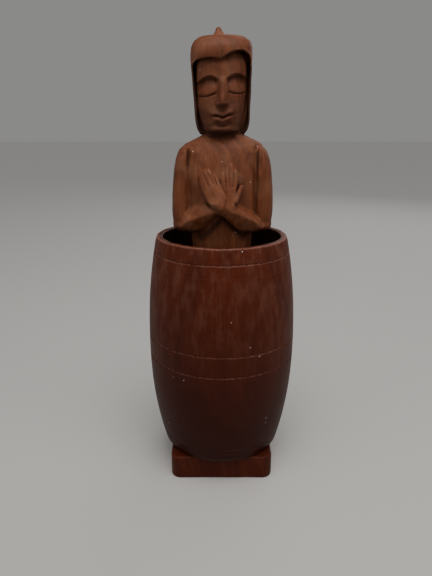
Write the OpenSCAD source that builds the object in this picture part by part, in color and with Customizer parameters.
// Carved wooden figure standing in a lift-off turned barrel, on a square base block.
// Millimetres. Origin: centre of the base's underside. +Z up, the figure faces -Y.

/* [Base block] */
// Side of the square base block
base_side = 73; // [70:1:78]
// Height of the base block
base_height = 17.5; // [15:0.5:20]
// Radius of the block's upright corners
base_corner_radius = 7; // [4:1:10]

/* [Barrel] */
// Height of the barrel
barrel_height = 155; // [150:1:156]
// Outside radius at the belly, the widest place
belly_radius = 52; // [50:1:54]
// Outside radius at the rim
rim_radius = 44.8; // [44:0.2:46]
// Outside radius at the foot
foot_radius = 41.9; // [41:0.1:43]
// Wall thickness at the rim
rim_wall = 4.4; // [3.5:0.1:5]
// Wall thickness at the foot
foot_wall = 4.7; // [3.5:0.1:5]
// Wall thickness at the belly
belly_wall = 6.5; // [5:0.5:9]
// How full the barrel's curve is: 2 is a parabola, and more is flatter at the belly
barrel_bow = 2.2; // [1.8:0.1:3]
// Depth of the cut lines that stand for hoops
line_depth = 0.5; // [0.3:0.1:0.8]

/* [Figure] */
// Height of the figure from the base block to the tip of its topknot
figure_height = 285; // [270:1:295]
// Width across the arms
arms_width = 68; // [66:1:69]
// Width of the head across the hair
hair_width = 38; // [36:1:40]
// Radius of the round gauge that the whole carving passes, so that the barrel lifts over it
gauge_radius = 36; // [35:0.5:36.5]

/* [Screws] */
// Distance between the two screws
screw_spacing = 24; // [20:1:26]
// Length of each screw, head included
screw_length = 32; // [25:1:38]
// Diameter of the shank
shank_diameter = 3.5; // [3:0.5:4]
// Diameter of the countersunk head
head_diameter = 7; // [6:0.5:8]

/* [Hidden] */

rest_gap = 0.1;          // between the barrel's foot and the block's top, so that they only touch
carve_fn = 22;           // facets of a carved ball
fine_fn = 14;            // facets of the smallest carved balls
round_fn = 96;           // facets of turned and drilled shapes
screw_y = 2;             // the screws stand just behind the middle, in the heels
head_sink = 0.6;         // how far a screw's head lies below the block's underside
head_height = 2.2;       // height of the countersunk head
screw_tip = 3;           // height of the screw's point
slot_width = 1;          // of the slot across a screw's head
slot_depth = 0.9;
hole_play = 0.1;         // radial play round a screw
pilot_spare = 0.5;       // how far the pilot hole runs past the screw's tip
barrel_base = base_height + rest_gap;
barrel_steps = 24;       // points along the barrel's curve
line_heights = [10.5, 70.5, 85, 144.5];   // of the cut lines, above the barrel's foot
line_half = 0.6;         // half the width of a cut line
line_clear = 2;          // the curve's own points stay this far off a cut line
arm_half = 7;            // half the width of an upper arm
arm_x = arms_width / 2 - arm_half;
hair_half = hair_width / 2;
carved_height = 285;     // the height that the figure's modules are drawn at

wood_figure = [0.42, 0.25, 0.17];
wood_barrel = [0.30, 0.14, 0.09];
wood_base = [0.34, 0.15, 0.09];
steel = [0.55, 0.55, 0.55];

// ---------- Base block: a square of dark wood with round upright corners ----------

module rounded_prism(side, height, r) {
    inner = side / 2 - r;
    translate([-side / 2, -inner, 0]) cube([side, 2 * inner, height]);
    translate([-inner, -side / 2, 0]) cube([2 * inner, side, height]);
    for (x = [-inner, inner], y = [-inner, inner])
        translate([x, y, 0]) cylinder(r = r, h = height, $fn = round_fn);
}

module screw_hole(x) {
    cone = head_diameter / 2 + hole_play;
    shank = shank_diameter / 2 + hole_play;
    translate([x, screw_y, 0]) {
        translate([0, 0, -1]) cylinder(r = shank, h = base_height + 2, $fn = round_fn);
        translate([0, 0, -1]) cylinder(r = cone, h = 1 + head_sink, $fn = round_fn);
        translate([0, 0, head_sink - 0.001])
            cylinder(r1 = cone, r2 = shank, h = head_height + hole_play, $fn = round_fn);
    }
}

module base_block() {
    color(wood_base)
    difference() {
        rounded_prism(base_side, base_height, base_corner_radius);
        for (side = [-1, 1]) screw_hole(side * screw_spacing / 2);
    }
}

// ---------- Barrel: one turned sleeve, open at both ends ----------

// Outside radius at height share t, from 0 at the foot to 1 at the rim. u runs from -1 to 1.
function barrel_radius(t) =
    let (u = 2 * t - 1, end = u < 0 ? foot_radius : rim_radius)
    belly_radius - (belly_radius - end) * pow(abs(u), barrel_bow);

// Wall thickness at height share t.
function barrel_wall(t) =
    let (u = 2 * t - 1, end = u < 0 ? foot_wall : rim_wall)
    belly_wall + (end - belly_wall) * u * u;

// One cut line: a V of three points on the outside, at height z above the foot.
function cut_line(z) = [
    for (step = [-1, 0, 1])
        [barrel_radius((z + line_half * step) / barrel_height) - (step == 0 ? line_depth : 0), z + line_half * step]
];

// A quarter round between two directions, for the soft edges of the rim and the foot.
function quarter(cx, cz, r, from) = [for (i = [0:4]) let (a = from + 22.5 * i) [cx + r * cos(a), cz + r * sin(a)]];

// True where a height above the foot is close to a cut line.
function near_line(z) = min([for (l = line_heights) abs(l - z)]) < line_clear;

module barrel_profile() {
    out_r = 1.4;
    in_r = 0.9;
    h = barrel_height;
    plain = [
        for (i = [1:barrel_steps - 1])
            let (z = i * h / barrel_steps)
            if (!near_line(z)) [barrel_radius(z / h), z]
    ];
    cuts = [for (l = line_heights) each cut_line(l)];
    // the plain points and the cut lines, merged by height
    outside = [
        for (i = [0:4])
            let (low = i == 0 ? 0 : line_heights[i - 1], high = i == 4 ? h : line_heights[i])
            each concat(
                [for (p = plain) if (p.y > low && p.y < high) p],
                i == 4 ? [] : [for (k = [0:2]) cuts[3 * i + k]]
            )
    ];
    inside = [
        for (i = [barrel_steps - 2:-1:2])
            let (z = i * h / barrel_steps)
            [barrel_radius(z / h) - barrel_wall(z / h), z]
    ];
    polygon(concat(
        quarter(foot_radius - out_r, out_r, out_r, -90),
        outside,
        quarter(rim_radius - out_r, h - out_r, out_r, 0),
        quarter(rim_radius - rim_wall + in_r, h - in_r, in_r, 90),
        inside,
        [[foot_radius - foot_wall, in_r], [foot_radius - foot_wall + in_r, 0]]
    ));
}

module barrel() {
    color(wood_barrel)
    translate([0, 0, barrel_base]) rotate_extrude($fn = round_fn) barrel_profile();
}

// ---------- Figure: one carving, from the feet to the topknot ----------

// A ball stretched to half-widths r = [x, y, z], at p.
module ball(p, r, n = carve_fn) {
    translate(p) scale(r) sphere(r = 1, $fn = n);
}

// A limb between two stretched balls.
module limb(p, r, q, t, n = carve_fn) {
    hull() {
        ball(p, r, n);
        ball(q, t, n);
    }
}

// A closed ring of points: half-width w, depth f to the front and b to the back, squareness e (2 is an ellipse).
function ring(z, w, f, b, e, n = 40) = [
    for (i = [0:n - 1])
        let (a = 360 * i / n, c = cos(a), k = sin(a), d = k < 0 ? f : b)
        [w * sign(c) * pow(abs(c), 2 / e), d * sign(k) * pow(abs(k), 2 / e), z]
];

// A solid through rings that lie one above the other. Each section is [z, w, f, b, e].
module loft(sections, n = 40) {
    rows = len(sections);
    points = [for (q = sections) each ring(q[0], q[1], q[2], q[3], q[4], n)];
    sides = [
        for (j = [0:rows - 2], i = [0:n - 1])
            let (a = j * n + i, b = j * n + (i + 1) % n)
            [a, a + n, b + n, b]
    ];
    polyhedron(
        points = points,
        faces = concat(sides, [[for (i = [0:n - 1]) i]], [[for (i = [n - 1:-1:0]) (rows - 1) * n + i]]),
        convexity = 4
    );
}

// The figure is drawn standing on its own feet, at height 0.
module feet() {
    for (side = [-1, 1])
        intersection() {
            limb([side * 10.5, 6, 7], [8, 8, 9], [side * 12, -20, 3], [7.5, 9, 6]);
            translate([-40, -40, 0]) cube([80, 80, 30]);
        }
}

// The wrapped skirt, the waist, the chest, the shoulders and the neck.
module trunk() {
    loft([
        [9, 19.5, 18, 17, 2.4],
        [12, 21, 19.5, 18, 2.5],
        [45, 20.8, 18.6, 17.6, 2.5],
        [85, 22, 19, 18.4, 2.5],
        [118, 24, 20.5, 19.5, 2.5],
        [138, 22.6, 19.2, 18.2, 2.5],
        [155, 20, 17.8, 16.4, 2.5],
        [172, 20.6, 17.6, 17, 2.5],
        [192, 22.6, 18.6, 18.6, 2.6],
        [206, 25.5, 16.6, 17.6, 2.3],
        [212, 24, 14, 15, 2.2],
        [216.5, 18, 12, 13, 2.1],
        [219.5, 13, 10.8, 12, 2],
        [223, 10.8, 10, 11.2, 2],
        [232, 10.4, 9.6, 11, 2]
    ]);
}

// Both arms hang close to the sides, and the forearms are bent up across the chest.
module arms() {
    for (side = [-1, 1]) {
        limb([side * (arm_x - 2.6), 0, 203], [9, 11, 9.6], [side * arm_x, -1, 176], [arm_half, 12, 14]);
        limb([side * arm_x, -1, 176], [arm_half, 12, 14], [side * (arm_x - 2), -5, 167], [7.5, 13.5, 9]);
        limb([side * (arm_x - 2), -6, 167], [7.5, 12, 8.6], [side * (arm_x - 8), -16, 166], [arm_half, 8.6, 7.6]);
    }
    // the left forearm lies on top
    limb([arm_x - 5, -13, 166], [8, 9, 7.6], [1, -26, 182], [5.6, 6.5, 6]);
    limb([-arm_x + 5, -13, 166], [8, 9, 7.6], [-6, -24.5, 179.5], [5.4, 5.5, 5.6]);
}

// A palm and four fingers side by side. across is the step from finger to finger, and drop is how
// much lower each finger ends than the longest, which is number 0 of -1, 0, 1, 2.
module hand(wrist, palm, tip, across, drop) {
    limb(wrist, [5, 4.2, 5], palm, [6.4, 3.6, 5.4], fine_fn);
    for (k = [-1:2])
        let (step = (k - 0.5) * across)
        limb(palm + step + [0, -1.2, 0], [1.7, 2.6, 2],
             tip + step - [0, 0, drop * abs(k)], [1.3, 1.8, 1.6], fine_fn);
}

module hands() {
    hand([0, -27.5, 183.5], [-6, -24.5, 189.5], [-12, -20.5, 196.5], [1.6, 0, 2], 0.8);
    hand([7, -23.5, 181], [5.5, -21.5, 190], [5.2, -18.5, 201.5], [2.5, 0, 0], 3);
    limb([9.5, -22, 182], [2, 2.6, 2.4], [13, -19.5, 189], [1.4, 2, 1.6], fine_fn);
}

// The skull and the face are one upright block, narrow at the chin.
module face_block() {
    loft([
        [223.2, 6.4, 15, 6, 2.4],
        [224.8, 8.4, 17, 8, 2.6],
        [230, 11.4, 17.6, 10, 2.5],
        [237, 13.4, 17.4, 12, 2.4],
        [246, 14.6, 17, 13, 2.4],
        [254, 15.2, 17.4, 13, 2.4],
        [262, 15.2, 16.8, 13, 2.4],
        [268, 14, 14, 12, 2.3]
    ]);
}

module features() {
    // nose
    limb([0, -16, 253], [1.7, 2.4, 3], [0, -18.2, 239.6], [2.6, 3.2, 2.2], fine_fn);
    for (side = [-1, 1]) {
        // nostril, brow, eyelid and half of the upper lip
        ball([side * 2.4, -17.6, 239.2], [1.9, 2.4, 1.8], fine_fn);
        limb([side * 3.2, -16.6, 254.4], [2, 1.8, 1.3], [side * 10.5, -14.4, 254.8], [3, 1.8, 1.3], fine_fn);
        ball([side * 7, -14.6, 247.4], [4.8, 2.6, 3.8], fine_fn);
        ball([side * 1.7, -17.4, 233], [3.2, 1.7, 1.2], fine_fn);
    }
    // lower lip and chin
    ball([0, -17.2, 229.9], [4.2, 1.9, 1.6], fine_fn);
    ball([0, -15.6, 225.8], [5.4, 3, 2.6], fine_fn);
}

// The hair is a deep hood. It hangs over the forehead, and its thin side walls stand clear of the cheeks.
module hair() {
    difference() {
        loft([
            [220.4, 11, 4.4, 12.5, 2.4],
            [223, 14, 7, 15.5, 2.6],
            [229, 16.4, 10, 18, 2.8],
            [238, hair_half - 1.4, 12, 19.4, 2.9],
            [252, hair_half - 0.8, 13, 20, 3],
            [260, hair_half, 16, 20, 3],
            [266, hair_half, 20, 20, 3],
            [271, hair_half - 0.8, 20, 19.4, 2.9],
            [275, hair_half - 3, 18, 17.4, 2.7],
            [277.6, hair_half - 6.5, 14.6, 14, 2.5],
            [279, hair_half - 10.5, 10, 10, 2.3]
        ]);
        // the opening for the face: wide and nearly square at the top, narrower at the jaw
        hull() {
            for (side = [-1, 1]) {
                translate([side * 4, 3, 214]) rotate([90, 0, 0]) cylinder(r = 8, h = 40, $fn = carve_fn);
                translate([side * 10, 3, 259]) rotate([90, 0, 0]) cylinder(r = 7, h = 40, $fn = carve_fn);
            }
        }
    }
}

module topknot() {
    limb([-0.6, 0, 278], [4.4, 4.4, 3], [-1, 0, 282.8], [2.2, 2.2, 2.2], fine_fn);
}

module carving() {
    feet();
    trunk();
    arms();
    hands();
    face_block();
    features();
    hair();
    topknot();
}

module figure() {
    color(wood_figure)
    difference() {
        intersection() {
            translate([0, 0, base_height]) scale([1, 1, figure_height / carved_height]) carving();
            cylinder(r = gauge_radius, h = 2 * figure_height, $fn = round_fn);
        }
        for (side = [-1, 1])
            translate([side * screw_spacing / 2, screw_y, 0])
                cylinder(r = shank_diameter / 2 + hole_play, h = head_sink + screw_length + pilot_spare, $fn = carve_fn);
    }
}

// ---------- Fixing screws: two countersunk wood screws, driven up through the block ----------

module screw() {
    shank = shank_diameter / 2;
    difference() {
        union() {
            cylinder(r1 = head_diameter / 2, r2 = shank, h = head_height, $fn = round_fn);
            cylinder(r = shank, h = screw_length - screw_tip, $fn = round_fn);
            translate([0, 0, screw_length - screw_tip]) cylinder(r1 = shank, r2 = 0.3, h = screw_tip, $fn = round_fn);
        }
        translate([-head_diameter, -slot_width / 2, -1]) cube([2 * head_diameter, slot_width, slot_depth + 1]);
    }
}

module fixing_screws() {
    color(steel)
    for (side = [-1, 1]) translate([side * screw_spacing / 2, screw_y, head_sink]) screw();
}

base_block();
figure();
barrel();
fixing_screws();
